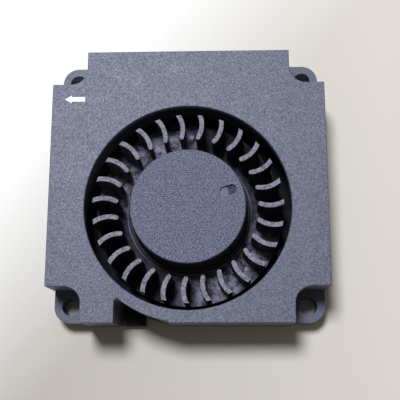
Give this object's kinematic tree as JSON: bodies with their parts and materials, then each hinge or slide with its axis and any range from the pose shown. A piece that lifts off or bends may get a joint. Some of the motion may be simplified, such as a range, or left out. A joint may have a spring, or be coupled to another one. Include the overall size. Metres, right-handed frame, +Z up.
{
  "type": "dc blower fan",
  "caption": "Flat square centrifugal blower with a scroll housing, round inlet eye, side outlet, four screw ears and a bladed impeller driven by a hub motor.",
  "frame": {"origin": "centre of the 45 x 45 mm footprint, on the base plane", "axes": "+Z up out of the inlet eye along the impeller's axis, -X out of the outlet, -Y towards the side that the impeller's axis lies nearest to"},
  "size_m": [0.045, 0.045, 0.01],
  "materials": {
    "housing_plastic": "black moulded plastic, fine spark-eroded grain",
    "cover_plastic": "black moulded plastic, spark-eroded grain",
    "impeller_plastic": "black moulded plastic, grained hub face, smooth blades",
    "natural_plastic": "natural moulded plastic",
    "brass": "turned",
    "sintered_bronze": "sintered, oiled",
    "board_laminate": "glass laminate with solder mask",
    "chip_epoxy": "moulded epoxy",
    "capacitor_ceramic": "fired",
    "core_steel": "stamped laminations",
    "yoke_steel": "deep drawn, plated",
    "shaft_steel": "ground",
    "magnet_compound": "plastic-bonded ferrite",
    "enamelled_copper": "enamelled copper wire"
  },
  "bodies": {
    "housing": {"housing_base": "housing_plastic", "top_cover": "cover_plastic", "bearing_tube": "brass", "sleeve_bearing": "sintered_bronze", "thrust_pad": "natural_plastic", "circuit_board": "board_laminate", "driver_ic": "chip_epoxy", "hall_sensor": "chip_epoxy", "chip_capacitor": "capacitor_ceramic", "chip_resistors": "chip_epoxy", "reverse_diode": "chip_epoxy", "winding_pins": "brass", "stator_core": "core_steel", "lower_insulator": "natural_plastic", "upper_insulator": "natural_plastic", "coil_1": "enamelled_copper", "coil_2": "enamelled_copper", "coil_3": "enamelled_copper", "coil_4": "enamelled_copper"},
    "rotor": {"impeller": "impeller_plastic", "rotor_yoke": "yoke_steel", "rotor_magnet": "magnet_compound", "shaft_bush": "brass", "shaft": "shaft_steel", "slinger_washer": "natural_plastic", "retaining_ring": "natural_plastic"}
  },
  "joints": [
    {"name": "impeller_spin", "type": "hinge", "parent": "housing", "child": "rotor", "pos_m": [0, -0.0039, 0.005], "axis": [0, 0, 1], "continuous": true}
  ]
}
